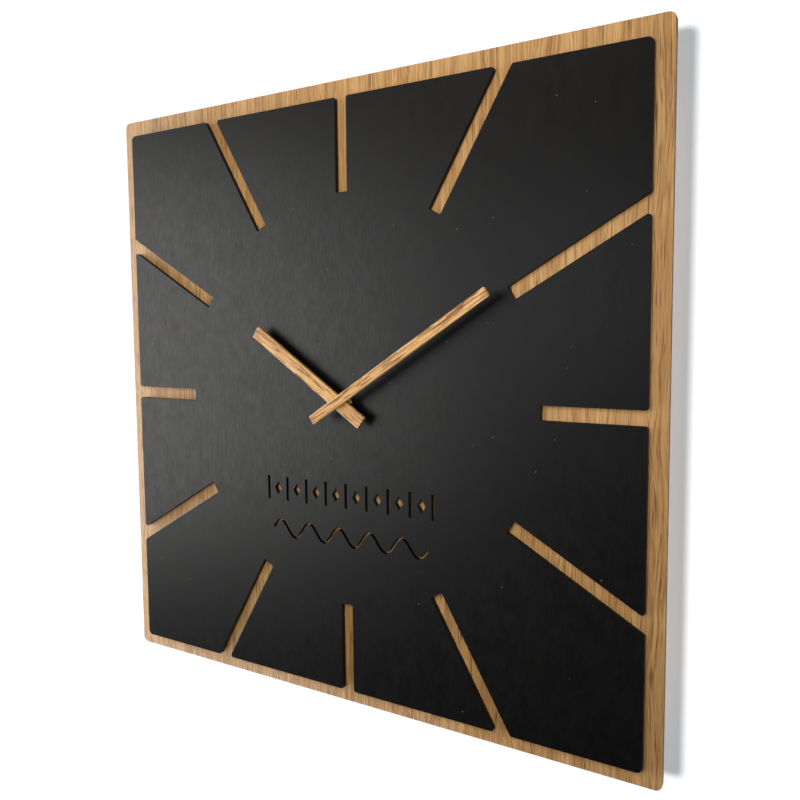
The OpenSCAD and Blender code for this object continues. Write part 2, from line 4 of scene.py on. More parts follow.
import bmesh
import bpy
from mathutils import Euler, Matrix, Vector

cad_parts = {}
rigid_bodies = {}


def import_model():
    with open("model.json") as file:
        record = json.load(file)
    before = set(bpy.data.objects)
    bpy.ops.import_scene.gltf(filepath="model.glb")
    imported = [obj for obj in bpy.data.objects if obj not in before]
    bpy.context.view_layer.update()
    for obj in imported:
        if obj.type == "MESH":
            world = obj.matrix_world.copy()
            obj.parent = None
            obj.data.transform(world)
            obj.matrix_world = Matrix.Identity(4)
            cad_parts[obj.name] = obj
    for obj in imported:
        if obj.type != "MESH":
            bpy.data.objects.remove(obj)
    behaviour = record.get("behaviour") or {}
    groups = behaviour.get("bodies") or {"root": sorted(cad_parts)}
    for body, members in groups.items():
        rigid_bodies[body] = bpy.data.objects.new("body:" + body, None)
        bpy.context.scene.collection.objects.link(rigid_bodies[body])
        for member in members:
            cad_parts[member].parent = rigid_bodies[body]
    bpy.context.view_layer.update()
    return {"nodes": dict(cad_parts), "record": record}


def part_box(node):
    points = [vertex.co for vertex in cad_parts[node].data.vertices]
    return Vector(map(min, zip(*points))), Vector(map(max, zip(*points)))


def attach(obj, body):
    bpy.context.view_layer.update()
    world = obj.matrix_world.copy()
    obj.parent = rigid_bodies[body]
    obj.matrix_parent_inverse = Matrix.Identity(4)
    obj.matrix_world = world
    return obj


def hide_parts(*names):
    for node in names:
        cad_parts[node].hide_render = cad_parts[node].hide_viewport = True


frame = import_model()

# The clock hangs on a wall in the plane y = 0 and its dial faces -Y. Lengths are in metres.
MM = 0.001
SLOT_OF = {part["node"]: part["material_slot"] for part in frame["record"]["subparts"]}

# DIAL is the point where the axis of the hands goes through the front of the oak board
BOARD_LOW, BOARD_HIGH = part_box("oak_face_veneer")
BOARD_CENTRE = (BOARD_LOW + BOARD_HIGH) / 2
DIAL = Vector((BOARD_CENTRE.x, BOARD_LOW.y, BOARD_CENTRE.z))

# Clock angles of the hands at rest, clockwise from twelve, in degrees
MINUTE_ANGLE = 57.4
HOUR_ANGLE = 304.0


def placed(name, data):
    """A new object in the scene."""
    piece = bpy.data.objects.new(name, data)
    bpy.context.scene.collection.objects.link(piece)
    return piece


# ---- Shader building ----

class Tree:
    """A node tree, with short calls that add a node and join it up."""

    def __init__(self, tree):
        self.tree = tree

    def feed(self, socket, value):
        """Joins value to socket if it is a socket, and otherwise sets it."""
        if isinstance(value, bpy.types.NodeSocket):
            self.tree.links.new(value, socket)
        else:
            socket.default_value = value

    def add(self, kind, inputs, output=0, **settings):
        """Adds a node and returns one of its outputs."""
        node = self.tree.nodes.new("ShaderNode" + kind)
        for key, value in settings.items():
            setattr(node, key, value)
        for key, value in inputs.items():
            self.feed(node.inputs[key], value)
        return node.outputs[output]

    def split(self, kind, value):
        """The outputs of a node that takes a vector or a colour apart."""
        node = self.tree.nodes.new("ShaderNode" + kind)
        self.feed(node.inputs[0], value)
        return node.outputs

    def math(self, operation, *values):
        return self.add("Math", dict(enumerate(values)), operation=operation)

    def weigh(self, first, first_weight, second, second_weight):
        """Weighted sum of two values."""
        return self.math("MULTIPLY_ADD", first, first_weight, self.math("MULTIPLY", second, second_weight))

    def sway(self, value, gain, base):
        """base, plus gain times how far value is from 0.5."""
        return self.math("MULTIPLY_ADD", self.math("SUBTRACT", value, 0.5), gain, base)

    def remap(self, value, low, high, to_low=0.0, to_high=1.0, smooth=True):
        """value taken from low..high to to_low..to_high."""
        return self.add("MapRange", {"Value": value, "From Min": low, "From Max": high,
                                     "To Min": to_low, "To Max": to_high},
                        interpolation_type="SMOOTHSTEP" if smooth else "LINEAR")


class Shader(Tree):
    """The node tree of a new material."""

    def __init__(self, name):
        self.material = bpy.data.materials.new(name)
        self.material.use_nodes = True
        super().__init__(self.material.node_tree)
        self.surface = self.tree.nodes["Principled BSDF"]
        self.place = self.add("TexCoord", {}, output="Object")

    def stretch(self, scale, turn=0.0, vector=None):
        """Coordinates turned by turn degrees about Y, then scaled."""
        turned = self.place if vector is None else vector
        if turn:
            turned = self.add("Mapping", {"Vector": turned, "Rotation": (0, math.radians(turn), 0)})
        return self.add("Mapping", {"Vector": turned, "Scale": scale})

    def noise(self, vector, scale=1.0, detail=2.0, roughness=0.5, distortion=0.0):
        return self.add("TexNoise", {"Vector": vector, "Scale": scale, "Detail": detail,
                                     "Roughness": roughness, "Distortion": distortion})

    def streaks(self, vector, across, along, **look):
        """Noise with one scale along Z and another across it."""
        return self.noise(self.stretch((across, across, along), vector=vector), **look)

    def ramp(self, value, stops):
        """Colour ramp with (position, (r, g, b)) stops."""
        node = self.tree.nodes.new("ShaderNodeValToRGB")
        self.feed(node.inputs[0], value)
        elements = node.color_ramp.elements
        while len(elements) < len(stops):
            elements.new(0.5)
        for element, (position, colour) in zip(elements, stops):
            element.position = position
            element.color = (*colour, 1)
        return node.outputs[0]

    def mix(self, factor, a, b):
        """Colour between a and b, which are colours or sockets."""
        node = self.tree.nodes.new("ShaderNodeMix")
        node.data_type = "RGBA"
        self.feed(node.inputs[0], factor)
        for socket, value in ((node.inputs[6], a), (node.inputs[7], b)):
            self.feed(socket, (*value, 1) if isinstance(value, tuple) else value)
        return node.outputs[2]

    def bump(self, height, depth, strength):
        """Surface relief: height 0..1 stands for depth metres."""
        self.feed(self.surface.inputs["Normal"],
                  self.add("Bump", {"Height": height, "Distance": depth, "Strength": strength}))

    def finish(self, colour, roughness, **uniform):
        """Feeds colour and roughness, sets the other inputs and returns the material."""
        self.feed(self.surface.inputs["Base Color"], (*colour, 1) if isinstance(colour, tuple) else colour)
        self.feed(self.surface.inputs["Roughness"], roughness)
        for key, value in uniform.items():
            self.surface.inputs[key.replace("_", " ")].default_value = value
        return self.material


# Oak is laid out in millimetres from the origin, which is midway between the board's sides.
IN_MM = (1000, 1000, 1000)
BOARD_HALF = 250
# the mix of bands and fine lines starts to change here, towards the right
BANDS_CHANGE_FROM = -150
# noise stays near 0.5, so this gain brings its swing up to about wander
STRAY_GAIN = 2.6
FLECK_SLANT = 16


def oak(name, grain_turn, light, mid, dark, pore, wander=(1.5, 6.0), pores=0.85, pitch=0.80,
        dash=28.0, rare=0.54, flecks=0.60):
    """Oak with its grain along +Z turned by grain_turn degrees. light, mid, dark and pore are
    colours. wander is how far the rings stray, in millimetres, at the left and right of the
    board. pitch is about the distance between rows of pores and dash their length, in
    millimetres. Pores are scarcer for a higher rare. pores and flecks say how clearly the pores
    and the ray flecks show."""
    s = Shader(name)
    grain = s.stretch(IN_MM, grain_turn)
    across, deep, along = s.split("SeparateXYZ", grain)

    # growth rings stray slowly along the board, more at its right
    stray = s.streaks(grain, 0.030, 0.011)
    amount = s.remap(across, -BOARD_HALF, BOARD_HALF, *wander)
    ring = s.sway(stray, s.math("MULTIPLY", amount, STRAY_GAIN), across)
    rings = s.add("CombineXYZ", {0: ring, 1: deep, 2: along})

    # the tone adds up broad bands, narrow bands, the lines within a ring and slow patches
    broad = s.streaks(rings, 0.11, 0.0015, detail=1.0)
    band = s.streaks(rings, 0.36, 0.003, detail=1.0)
    fine = s.streaks(rings, 1.25, 0.008, detail=1.0, roughness=0.6)
    patch = s.streaks(grain, 0.009, 0.004, detail=3.0)
    band_gain = s.remap(across, BANDS_CHANGE_FROM, BOARD_HALF, 0.35, 0.55)
    fine_gain = s.remap(across, BANDS_CHANGE_FROM, BOARD_HALF, 1.05, 0.70)
    tone = 0.5
    for layer, gain in ((broad, 0.35), (band, band_gain), (fine, fine_gain), (patch, 0.35)):
        tone = s.sway(layer, gain, tone)
    wood = s.ramp(tone, [(0.26, dark), (0.50, mid), (0.72, light)])

    # open pores: dark dashes along the grain, thick in the early wood of each ring
    early = s.remap(s.streaks(rings, 0.30, 0.002, detail=0.0), 0.40, 0.60)
    dashes = s.streaks(rings, 1 / pitch, 1 / dash, detail=1.0)
    open_pores = s.math("MULTIPLY", s.remap(dashes, rare, rare + 0.09),
                        s.math("MULTIPLY_ADD", early, 0.6, 0.4))
    wood = s.mix(s.math("MULTIPLY", open_pores, pores), wood, pore)

    # ray flecks: pale slanted strokes in groups, most of them low on the board
    strokes = s.noise(s.stretch((0.75, 0.75, 0.085), FLECK_SLANT, grain), detail=0.0)
    group = s.remap(s.streaks(grain, 0.016, 0.010, detail=1.0), 0.40, 0.55)
    low = s.math("MULTIPLY", s.remap(along, -190, 60, 1.0, 0.35), s.remap(across, 60, 210, 1.0, 0.25))
    rays = s.math("MULTIPLY", s.remap(strokes, 0.64, 0.71), s.math("MULTIPLY", group, low))
    pale = tuple(min(1.0, 1.25 * c + 0.05) for c in light)
    wood = s.mix(s.math("MULTIPLY", rays, flecks), wood, pale)

    s.bump(s.weigh(open_pores, -1.0, fine, 0.35), 0.10 * MM, 0.6)
    gloss = s.remap(s.math("SUBTRACT", fine, s.math("MULTIPLY", rays, 0.25)), 0.2, 0.8, 0.40, 0.58)
    return s.finish(wood, gloss, Specular_IOR_Level=0.14)


def fibreboard(name):
    """Cut edge of fibreboard: packed short fibres, darkened by the cut."""
    s = Shader(name)
    fibres = s.noise(s.stretch((900, 2600, 900)), detail=5.0, roughness=0.7)
    soft = s.noise(s.place, scale=60, detail=3.0)
    brown = [(0.35, (0.085, 0.046, 0.022)), (0.55, (0.17, 0.098, 0.048)), (0.78, (0.28, 0.175, 0.095))]
    colour = s.ramp(s.weigh(soft, 0.5, fibres, 0.6), brown)
    s.bump(fibres, 0.18 * MM, 0.7)
    return s.finish(colour, s.remap(fibres, 0.3, 0.7, 0.75, 0.92), Specular_IOR_Level=0.25)


def painted_panel(name):
    """Matt charcoal paint on fibreboard: soft mottling, raised fibres, specks and a dull sheen."""
    s = Shader(name)
    cloud = s.noise(s.place, scale=9.0, detail=4.0, roughness=0.55)
    mottle = s.noise(s.stretch((130, 130, 95)), detail=4.0, roughness=0.6)
    fibre = s.noise(s.stretch((1500, 1500, 420)), detail=3.0, roughness=0.65)
    streak = s.noise(s.stretch((800, 800, 150)), detail=3.0, roughness=0.65)
    grit = s.noise(s.place, scale=2600.0, roughness=0.6)
    charcoal = [(0.34, (0.0014, 0.0013, 0.0013)), (0.66, (0.0030, 0.0027, 0.0026))]
    colour = s.ramp(s.weigh(mottle, 0.5, cloud, 0.5), charcoal)

    # a speck of dust lies at the middle of some cells of a Voronoi pattern, picked by chance
    cells = {"Vector": s.place, "Scale": 84.0}
    from_middle = s.add("TexVoronoi", cells)
    chance = s.split("SeparateColor", s.add("TexVoronoi", cells, output="Color"))[0]
    dust = s.math("MULTIPLY", s.remap(from_middle, 0.012, 0.038, 1.0, 0.0),
                  s.math("GREATER_THAN", chance, 0.42))
    dust_grey = (0.50, 0.48, 0.46)
    colour = s.mix(s.math("MULTIPLY", dust, 0.6), colour, dust_grey)

    relief = s.math("MULTIPLY_ADD", fibre, 0.6, s.weigh(grit, 0.25, mottle, 0.9))
    s.bump(s.math("MULTIPLY_ADD", streak, 1.4, relief), 0.07 * MM, 0.6)
    gloss = s.sway(mottle, 0.16, s.math("MULTIPLY_ADD", fibre, 0.06, 0.37))
    return s.finish(colour, s.sway(streak, 0.22, gloss), Specular_IOR_Level=0.17)


def moulded(name, base, grain_mm=0.35, shine=(0.42, 0.60), depth=0.03 * MM, wear=0.15):
    """Moulded plastic: spark-eroded texture, faint flow marks and rubbed high spots."""
    s = Shader(name)
    grain = s.noise(s.place, scale=1.0 / (grain_mm * MM), detail=3.0, roughness=0.6)
    flow = s.noise(s.stretch((40, 40, 12)), detail=3.0, distortion=0.6)
    scuffs = s.noise(s.stretch((1400, 300, 180), 24))
    lighter = tuple(min(1.0, c * 1.35 + 0.012) for c in base)
    darker = tuple(c * 0.80 for c in base)
    colour = s.ramp(s.weigh(flow, 0.7, grain, 0.3), [(0.35, darker), (0.68, lighter)])
    colour = s.mix(s.math("MULTIPLY", s.remap(scuffs, 0.66, 0.76), wear), colour, lighter)
    s.bump(grain, depth, 0.6)
    return s.finish(colour, s.remap(s.weigh(flow, 0.5, grain, 0.5), 0.3, 0.7, *shine))


def metal(name, base, lined=(1, 1, 1), shine=(0.22, 0.40), tarnish=0.3, dull=None, depth=0.012 * MM):
    """Bare metal. lined stretches its fine scratches along one axis."""
    s = Shader(name)
    scratch = s.noise(s.stretch(tuple(5200.0 / k for k in lined)), detail=3.0, roughness=0.65)
    stain = s.noise(s.place, scale=140.0, detail=4.0, roughness=0.6)
    dull = dull or tuple(c * 0.55 for c in base)
    colour = s.mix(s.math("MULTIPLY", s.remap(stain, 0.42, 0.72), tarnish), base, dull)
    s.bump(scratch, depth, 0.5)
    gloss = s.math("MULTIPLY_ADD", s.remap(stain, 0.4, 0.75), 0.16,
                   s.remap(scratch, 0.3, 0.7, *shine, smooth=False))
    return s.finish(colour, gloss, Metallic=1.0)


def felted(name):
    """Felt: matted short hairs."""
    s = Shader(name)
    hairs = s.noise(s.stretch((2400, 900, 1500)), detail=5.0, roughness=0.75, distortion=1.2)
    clumps = s.noise(s.place, scale=420.0, detail=3.0)
    greys = [(0.34, (0.045, 0.043, 0.042)), (0.68, (0.16, 0.155, 0.15))]
    s.bump(hairs, 0.25 * MM, 0.9)
    return s.finish(s.ramp(s.weigh(hairs, 0.6, clumps, 0.4), greys), 0.95,
                    Specular_IOR_Level=0.2, Sheen_Weight=0.35, Sheen_Roughness=0.5)


def winding(name):
    """Fine enamelled wire wound about the X axis. Its colour carries painted shade between the turns, a
    painted highlight on them and patches of painted shadow.
    """
    s = Shader(name)
    turns = s.add("TexWave", {"Vector": s.place, "Scale": 900.0, "Distortion": 0.4, "Detail": 1.0},
                  output="Fac", wave_type="BANDS", bands_direction="X")
    shadow = s.noise(s.place, scale=500.0)
    # painted shade and highlight: copper darkened between the turns and lightened on them, with patches of
    # painted shadow mixed in
    shaded_to_lit_copper = [(0.2, (0.20, 0.055, 0.018)), (0.8, (0.62, 0.25, 0.10))]
    s.bump(turns, 0.06 * MM, 0.8)
    return s.finish(s.ramp(s.weigh(turns, 0.6, shadow, 0.4), shaded_to_lit_copper),
                    s.remap(shadow, 0.3, 0.7, 0.28, 0.42), Metallic=1.0)


def circuit_lacquer(name):
    """Green solder mask over faint copper tracks."""
    s = Shader(name)
    black, white, over_track = (0, 0, 0, 1), (1, 1, 1, 1), (0.03, 0.20, 0.075)
    tracks = s.add("TexBrick", {"Vector": s.stretch((260, 260, 260)), "Color1": black, "Color2": black,
                                "Mortar": white, "Mortar Size": 0.03, "Scale": 1.0}, output="Fac")
    haze = s.noise(s.place, scale=220.0, detail=3.0)
    greens = s.ramp(haze, [(0.35, (0.006, 0.075, 0.030)), (0.7, (0.012, 0.12, 0.050))])
    s.bump(s.math("MULTIPLY_ADD", tracks, -0.7, haze), 0.04 * MM, 0.6)
    return s.finish(s.mix(s.math("MULTIPLY", tracks, 0.5), greens, over_track),
                    s.remap(haze, 0.3, 0.7, 0.20, 0.38), Coat_Weight=0.4, Coat_Roughness=0.15)


def sleeve(name):
    """Shrunk battery sleeve: glossy film with fine ripples and soft colour shifts along the cell."""
    s = Shader(name)
    ripple = s.noise(s.stretch((40, 420, 420)), detail=3.0, roughness=0.6)
    grime = s.noise(s.place, scale=160.0, detail=4.0)
    blues = [(0.35, (0.040, 0.080, 0.145)), (0.7, (0.075, 0.135, 0.225))]
    s.bump(ripple, 0.08 * MM, 0.5)
    return s.finish(s.ramp(s.weigh(ripple, 0.4, grime, 0.6), blues),
                    s.remap(grime, 0.3, 0.72, 0.16, 0.34), Coat_Weight=0.6, Coat_Roughness=0.08)


OAK_TONES = {"light": (0.69, 0.405, 0.165), "mid": (0.56, 0.305, 0.112),
             "dark": (0.38, 0.180, 0.056), "pore": (0.19, 0.078, 0.025)}
HAND_OAK = {"light": (0.80, 0.48, 0.205), "mid": (0.69, 0.390, 0.150),
            "dark": (0.46, 0.215, 0.066), "pore": (0.21, 0.085, 0.028),
            "wander": (1.0, 1.0), "pores": 1.0, "pitch": 0.85, "dash": 15.0, "rare": 0.50, "flecks": 0.15}

FINISHES = {
    "oak": oak("oak_board", 0.0, **OAK_TONES),
    "board_core": fibreboard("board_edge"),
    "panel_black": painted_panel("panel_paint"),
    "black_plastic": moulded("black_abs", (0.020, 0.020, 0.021)),
    "white_plastic": moulded("white_acetal", (0.72, 0.71, 0.67), grain_mm=0.5, shine=(0.30, 0.45), wear=0.1),
    "brass": metal("turned_brass", (0.72, 0.50, 0.22), tarnish=0.35, dull=(0.36, 0.22, 0.09)),
    "steel": metal("zinc_steel", (0.60, 0.61, 0.62), lined=(1, 1, 4), tarnish=0.4, dull=(0.36, 0.35, 0.33)),
    "electrical_steel": metal("core_steel", (0.40, 0.40, 0.41), lined=(4, 1, 1), shine=(0.30, 0.48),
                              tarnish=0.5),
    "felt": felted("grey_felt"),
    "magnet": metal("magnet", (0.20, 0.20, 0.21), shine=(0.35, 0.5), tarnish=0.5, depth=0.03 * MM),
    "bobbin_green": moulded("bobbin_plastic", (0.05, 0.24, 0.12), grain_mm=0.5, shine=(0.35, 0.5)),
    "copper_wire": winding("enamelled_wire"),
    "circuit_green": circuit_lacquer("circuit_board_lacquer"),
    "epoxy": moulded("chip_resin", (0.012, 0.012, 0.013), grain_mm=0.8, shine=(0.15, 0.3), depth=0.06 * MM),
    "can_metal": metal("nickel_plate", (0.66, 0.64, 0.60), shine=(0.18, 0.32), tarnish=0.25),
    "cell_wrap": sleeve("battery_sleeve"),
}
HAND_FINISHES = {"minute_hand": oak("oak_minute_hand", -MINUTE_ANGLE, **HAND_OAK),
                 "hour_hand": oak("oak_hour_hand", -HOUR_ANGLE, **HAND_OAK)}


def finish_of(node):
    """The material of a node. One that the record gives no slot is black plastic."""
    return HAND_FINISHES.get(node) or FINISHES[SLOT_OF.get(node, "black_plastic")]


def assign(piece, material):
    """Gives every slot of a piece the same material."""
    if not piece.material_slots:
        piece.data.materials.append(material)
    for slot in piece.material_slots:
        slot.material = material


for node_name, node_object in frame["nodes"].items():
    assign(node_object, finish_of(node_name))


# ---- Pieces with softened edges ----

# cosines to an axis, above which a face is square to it or an edge runs along it
SQUARE_TO, RUNS_ALONG = 0.999, 0.99
# angles between faces, in degrees, above which an edge is a corner, sharp, rounded over or kept
CORNER_DEGREES, SHARP_DEGREES, ROUNDED_DEGREES, KEPT_DEGREES = 60, 35, 30, 0.5
CORNER_FLATS = 5
WELD = 1e-6
ON_PLANE = 1e-8


def shade(mesh, flat_axis=1):
    """Smooth shading, apart from the faces square to flat_axis and sharp edges."""
    mesh.set_sharp_from_angle(angle=math.radians(SHARP_DEGREES))
    for face in mesh.polygons:
        face.use_smooth = abs(face.normal[flat_axis]) < SQUARE_TO


def rounded_over(piece, width, segments):
    """Rounds over the sharp edges of a piece."""
    bevel = piece.modifiers.new("soft", "BEVEL")
    bevel.width = width
    bevel.segments = segments
    bevel.limit_method = "ANGLE"
    bevel.angle_limit = math.radians(ROUNDED_DEGREES)
    bevel.use_clamp_overlap = False
    bpy.context.view_layer.update()
    evaluated = piece.evaluated_get(bpy.context.evaluated_depsgraph_get())
    piece.data = bpy.data.meshes.new_from_object(evaluated)
    piece.modifiers.clear()


def trim_corners(work, radius):
    """Rounds the square corners of a flat-cut outline, by cutting each with short flats."""
    square = [e for e in work.edges if abs((e.verts[1].co - e.verts[0].co).normalized().y) > RUNS_ALONG
              and e.calc_face_angle(0.0) > math.radians(CORNER_DEGREES)]
    corners = [(e.verts[0].co.copy(), [face.normal.copy() for face in e.link_faces]) for e in square]
    turn_step = math.radians(90 / CORNER_FLATS)
    reach = radius * math.cos(turn_step / 2)
    for point, (first, second) in corners:
        middle = point - radius * (first + second)
        for step in range(CORNER_FLATS):
            turn = turn_step * (step + 0.5)
            flat = math.cos(turn) * first + math.sin(turn) * second
            bmesh.ops.bisect_plane(work, geom=work.verts[:] + work.edges[:] + work.faces[:], dist=ON_PLANE,
                                   plane_co=middle + reach * flat, plane_no=flat, clear_outer=True)
            bmesh.ops.holes_fill(work, edges=[e for e in work.edges if e.is_boundary])


def softened(node, body, width, segments=2, corner=0.0, flat_axis=1):
    """A clean copy of a flat-cut node with its sharp edges rounded over by width, and the
    square corners of its outline by the radius corner."""
    mesh = bpy.data.meshes.new(node + "_soft")
    work = bmesh.new()
    work.from_mesh(frame["nodes"][node].data)
    bmesh.ops.remove_doubles(work, verts=work.verts, dist=WELD)
    if corner:
        trim_corners(work, corner)
    bmesh.ops.dissolve_limit(work, angle_limit=math.radians(KEPT_DEGREES), verts=work.verts,
                             edges=work.edges)
    bmesh.ops.recalc_face_normals(work, faces=work.faces)
    work.to_mesh(mesh)
    work.free()
    if "custom_normal" in mesh.attributes:
        mesh.attributes.remove(mesh.attributes["custom_normal"])
    piece = placed(node + "_soft", mesh)
    rounded_over(piece, width, segments)
    shade(piece.data, flat_axis)
    assign(piece, finish_of(node))
    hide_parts(node)
    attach(piece, body)
    return piece


sheet = softened("dial_panel", "clock", 0.22 * MM)
softened("oak_face_veneer", "clock", 0.14 * MM)
softened("oak_back_veneer", "clock", 0.14 * MM)
softened("minute_hand", "minute_work", 0.35 * MM, segments=3, corner=1.1 * MM)
softened("hour_hand", "hour_work", 0.35 * MM, segments=3, corner=1.1 * MM)
softened("bush_nut", "clock", 0.30 * MM)
softened("bush_washer", "clock", 0.12 * MM)
softened("hanger_bracket", "clock", 0.20 * MM)
softened("battery_can", "battery", 0.60 * MM, segments=3, flat_axis=0)
for corner_number in range(1, 5):
    softened("wall_spacer_%d" % corner_number, "clock", 0.70 * MM, segments=3)
    softened("felt_pad_%d" % corner_number, "clock", 0.45 * MM, segments=3)


# ---- Marks moulded on the back of the movement ----

MARK_SUNK = 0.15 * MM
MARK_PROUD = 0.35 * MM
MARK_EDGE = 0.10 * MM
POLE_SIZE = 4.2 * MM
POLE_LINE = 0.9 * MM
POLE_INSET = 4.5 * MM
POLE_ABOVE_CELL = 4.6 * MM
ARROW_LINE = 0.6 * MM
ARROW_OFF_KNOB = 1.9 * MM
ARROW_FIRST, ARROW_LAST = 28, 152
ARROW_STEPS = 28
# length and half width of an arrow head, in widths of its line
HEAD_LENGTH, HEAD_HALF = 2.4, 1.5


def block(outline, near, far, first):
    """Vertices and faces of a closed block on an outline of (x, z) points that runs from +X
    towards +Z, between y = near and y = far. first is the number of its first vertex."""
    count = len(outline)
    verts = [(x, y, z) for y in (near, far) for x, z in outline]
    front, back = range(first, first + count), range(first + count, first + 2 * count)
    sides = [(front[i - 1], back[i - 1], back[i], front[i]) for i in range(count)]
    return verts, [tuple(front), tuple(reversed(back)), *sides]


def around(centre, radius, angle):
    """The point (x, z) at an angle in degrees from +X towards +Z."""
    turn = math.radians(angle)
    return centre[0] + radius * math.cos(turn), centre[1] + radius * math.sin(turn)


def arc(centre, radius, first, last):
    return [around(centre, radius, first + (last - first) * i / ARROW_STEPS) for i in range(ARROW_STEPS + 1)]


def minus_mark(x, z):
    """Outline of a minus sign about (x, z)."""
    half, thin = POLE_SIZE / 2, POLE_LINE / 2
    return [(x - half, z - thin), (x + half, z - thin), (x + half, z + thin), (x - half, z + thin)]


def plus_mark(x, z):
    """Outline of a plus sign about (x, z)."""
    half, thin = POLE_SIZE / 2, POLE_LINE / 2
    return [(x + u, z + v) for u, v in (
        (-half, -thin), (-thin, -thin), (-thin, -half), (thin, -half), (thin, -thin), (half, -thin),
        (half, thin), (thin, thin), (thin, half), (-thin, half), (-thin, thin), (-half, thin))]


def setting_arrow(centre, radius):
    """Outline of a curved arrow that points both ways round the knob."""
    length = math.degrees(HEAD_LENGTH * ARROW_LINE / radius)
    outer, inner = radius + ARROW_LINE / 2, radius - ARROW_LINE / 2
    wide, narrow = radius + HEAD_HALF * ARROW_LINE, radius - HEAD_HALF * ARROW_LINE
    left_head = [around(centre, wide, ARROW_LAST), around(centre, radius, ARROW_LAST + length),
                 around(centre, narrow, ARROW_LAST)]
    right_head = [around(centre, narrow, ARROW_FIRST), around(centre, radius, ARROW_FIRST - length),
                  around(centre, wide, ARROW_FIRST)]
    return (arc(centre, outer, ARROW_FIRST, ARROW_LAST) + left_head
            + arc(centre, inner, ARROW_LAST, ARROW_FIRST) + right_head)


def moulded_marks():
    """Raised plus, minus and setting arrow on the back cover, in one piece."""
    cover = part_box("case_back")[1].y
    knob_low, knob_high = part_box("set_knob")
    cell_low, cell_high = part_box("battery_can")
    knob = ((knob_low.x + knob_high.x) / 2, (knob_low.z + knob_high.z) / 2)
    knob_radius = (knob_high.x - knob_low.x) / 2
    pole_z = cell_high.z + POLE_ABOVE_CELL
    verts, faces = [], []
    for outline in (plus_mark(cell_high.x - POLE_INSET, pole_z), minus_mark(cell_low.x + POLE_INSET, pole_z),
                    setting_arrow(knob, knob_radius + ARROW_OFF_KNOB)):
        more_verts, more_faces = block(outline, cover - MARK_SUNK, cover + MARK_PROUD, len(verts))
        verts += more_verts
        faces += more_faces
    mesh = bpy.data.meshes.new("case_marks")
    mesh.from_pydata(verts, [], faces)
    mesh.update()
    piece = placed("case_marks", mesh)
    rounded_over(piece, MARK_EDGE, 2)
    shade(piece.data)
    assign(piece, FINISHES["black_plastic"])
    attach(piece, "clock")


moulded_marks()


# ---- Camera, fitted to the corners of the board and the panel in the photo ----

CAMERA_OFFSET = Vector((0.3372, -0.4681, 0.0565))
CAMERA_TURN = (85.736, 0.278, 28.463)
CAMERA_SETTINGS = {"lens": 32.30, "sensor_width": 36, "shift_x": -0.0481, "shift_y": -0.0218,
                   "clip_start": 0.01}

camera = placed("photo_camera", bpy.data.cameras.new("photo_camera"))
for setting, value in CAMERA_SETTINGS.items():
    setattr(camera.data, setting, value)
camera.location = DIAL + CAMERA_OFFSET
camera.rotation_euler = Euler([math.radians(a) for a in CAMERA_TURN])
bpy.context.scene.camera = camera


# ---- Wall and floor ----

WALL_Y = 0.5 * MM
WALL_HALF = 2.4
WALL_TOP = 1.6
FLOOR_HALF = 4
FLOOR_Z = -1.3


def plane(name, corners, material):
    mesh = bpy.data.meshes.new(name)
    mesh.from_pydata(corners, [], [(0, 1, 2, 3)])
    mesh.update()
    piece = placed(name, mesh)
    assign(piece, material)
    return piece


def stage_paint(name, colour, one_sided):
    """Pale matt paint. A one-sided surface can't be seen from behind."""
    s = Shader(name)
    grain = s.noise(s.place, scale=900.0, detail=3.0)
    s.bump(grain, 0.1 * MM, 0.15)
    s.finish(colour, 0.9, Specular_IOR_Level=0.1)
    if one_sided:
        behind = s.add("NewGeometry", {}, output="Backfacing")
        clear = s.add("BsdfTransparent", {})
        either = s.add("MixShader", {0: behind, 1: s.surface.outputs[0], 2: clear})
        s.feed(s.tree.nodes["Material Output"].inputs["Surface"], either)
    return s.material


wall = plane("wall", [(-WALL_HALF, WALL_Y, FLOOR_Z), (WALL_HALF, WALL_Y, FLOOR_Z),
                      (WALL_HALF, WALL_Y, WALL_TOP), (-WALL_HALF, WALL_Y, WALL_TOP)],
             stage_paint("wall_paint", (0.88, 0.88, 0.88), True))
wall.visible_shadow = False
floor = plane("floor", [(-FLOOR_HALF, -FLOOR_HALF, FLOOR_Z), (FLOOR_HALF, -FLOOR_HALF, FLOOR_Z),
                        (FLOOR_HALF, FLOOR_HALF, FLOOR_Z), (-FLOOR_HALF, FLOOR_HALF, FLOOR_Z)],
              stage_paint("floor_paint", (0.80, 0.79, 0.78), False))
floor.visible_diffuse = False
floor.visible_glossy = False


# ---- Light ----

# Each set of pieces has its own lamps, so that the wall is white with a narrow shadow
SETS = {name: bpy.data.collections.new(name) for name in ("wall_set", "floor_set", "sheet_set", "clock_set")}
for piece in bpy.data.objects:
    if piece.type == "MESH":
        set_name = {wall: "wall_set", floor: "floor_set", sheet: "sheet_set"}.get(piece, "clock_set")
        SETS[set_name].objects.link(piece)

SUN_DISTANCE = 3.0
WHITE = (1, 1, 1)


def from_dial(azimuth, elevation, distance):
    """A point seen from the dial: azimuth in degrees to the right of its normal."""
    a, e = math.radians(azimuth), math.radians(elevation)
    return DIAL + distance * Vector((math.sin(a) * math.cos(e), -math.cos(a) * math.cos(e), math.sin(e)))


def lamp(kind, name, lit_set, place, aim, energy, colour):
    """A lamp that lights only the pieces of one set."""
    piece = placed(name, bpy.data.lights.new(name, kind))
    piece.data.energy = energy
    piece.data.color = colour
    piece.location = place
    piece.rotation_euler = (aim - place).to_track_quat("-Z", "Y").to_euler()
    piece.light_linking.receiver_collection = SETS[lit_set]
    return piece


def area_light(name, lit_set, place, size, watts, colour=WHITE, aim=DIAL):
    """A soft rectangular lamp that the camera doesn't see."""
    piece = lamp("AREA", name, lit_set, place, aim, watts, colour)
    piece.data.shape = "RECTANGLE"
    piece.data.size, piece.data.size_y = size
    piece.visible_camera = False


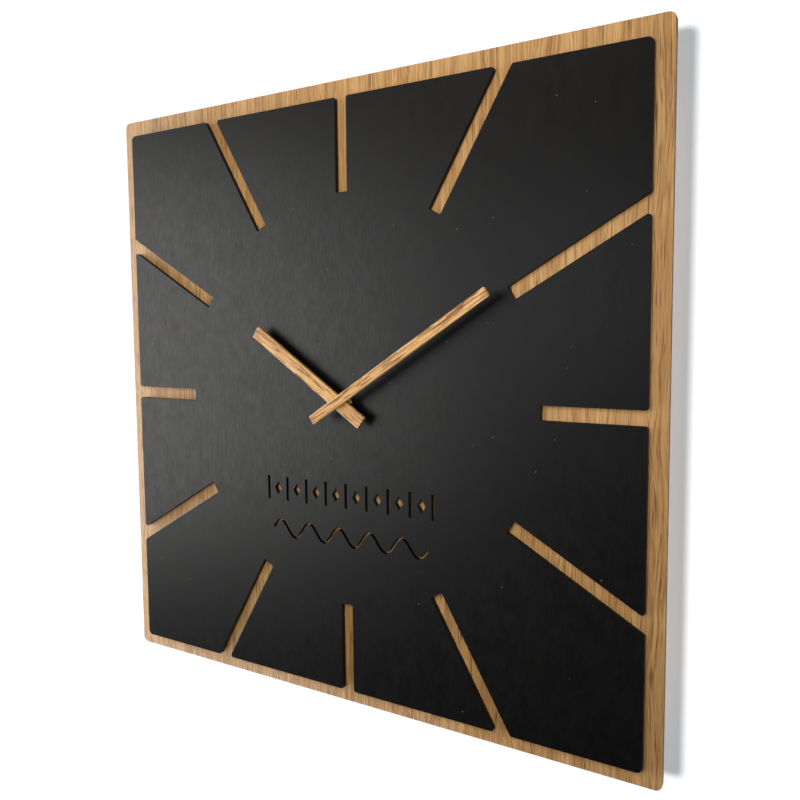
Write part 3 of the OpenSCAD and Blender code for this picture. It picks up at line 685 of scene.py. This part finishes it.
def sun_light(name, azimuth, elevation, strength, angle, lit_set="wall_set", colour=WHITE, shadow=True):
    """Parallel light that comes from the given side of the dial."""
    piece = lamp("SUN", name, lit_set, from_dial(azimuth, elevation, SUN_DISTANCE), DIAL, strength, colour)
    piece.data.angle = math.radians(angle)
    piece.data.use_shadow = shadow


# the dull gloss of the sheet picks up the window, the ceiling and the room behind the camera
area_light("window", "sheet_set", from_dial(-48, 0.0, 1.79), (1.25, 1.14), 31, (1.0, 0.985, 0.97))
area_light("ceiling", "sheet_set", DIAL + Vector((0, -0.24, 0.50)), (0.40, 0.24), 0.9, (1.0, 0.87, 0.72))
area_light("room_glow", "sheet_set", from_dial(-10.4, 6.4, 2.0), (0.4, 0.4), 4.3)
area_light("far_glow", "sheet_set", from_dial(62, 8, 2.0), (1.4, 1.2), 30)
# the oak is lit softly from above the camera, along the wall from the left, and a little at its
# lower left corner and its right edge
area_light("room_light", "clock_set", DIAL + Vector((0.09, -0.47, 0.16)), (0.47, 0.47), 2.25)
area_light("side_light", "clock_set", from_dial(-80, -1, 1.5), (0.40, 1.4), 52, (0.82, 0.89, 1.0))
area_light("low_light", "clock_set", DIAL + Vector((-0.62, -0.10, -0.66)), (0.25, 0.12), 6.6,
           (0.72, 0.82, 1.0), aim=DIAL + Vector((-0.1, 0, -0.25)))
area_light("edge_light", "clock_set", DIAL + Vector((0.44, -0.36, 0.10)), (0.25, 0.25), 0.26,
           aim=DIAL + Vector((0.22, 0, 0.04)))
area_light("rear_fill", "clock_set", DIAL + Vector((-0.7, 1.6, 0.5)), (1.2, 1.2), 8)
# one sun casts the shadow on the wall, and a bluish one without shadows keeps that shadow grey
sun_light("wall_wash", -20, 4, 2.5, 15.0)
sun_light("wall_fill", 0, 45, 2.03, 20.0, colour=(0.775, 0.90, 1.0), shadow=False)
sun_light("floor_wash", 0, 90, 2.3, 20.0, lit_set="floor_set")


# ---- World: a dim room, brighter towards the window, that the camera sees as near white ----

WINDOW_SIDE = (-0.80, -0.42, 0.42)
ROOM_DIM, ROOM_BRIGHT = 0.035, 0.10
BACKDROP = 0.95

world = bpy.data.worlds.new("studio")
world.use_nodes = True
bpy.context.scene.world = world
w = Tree(world.node_tree)
direction = w.add("TexCoord", {}, output="Generated")
toward = w.add("VectorMath", {0: direction, 1: WINDOW_SIDE}, output="Value", operation="DOT_PRODUCT")
room = w.remap(toward, -0.6, 0.9, ROOM_DIM, ROOM_BRIGHT, smooth=False)
camera_ray = w.add("LightPath", {}, output="Is Camera Ray")
strength = w.add("Mix", {0: camera_ray, 2: room, 3: BACKDROP})
background = w.tree.nodes["Background"]
background.inputs["Color"].default_value = (*WHITE, 1)
w.feed(background.inputs["Strength"], strength)

bpy.context.scene.view_settings.view_transform = "Standard"
bpy.context.scene.view_settings.look = "None"
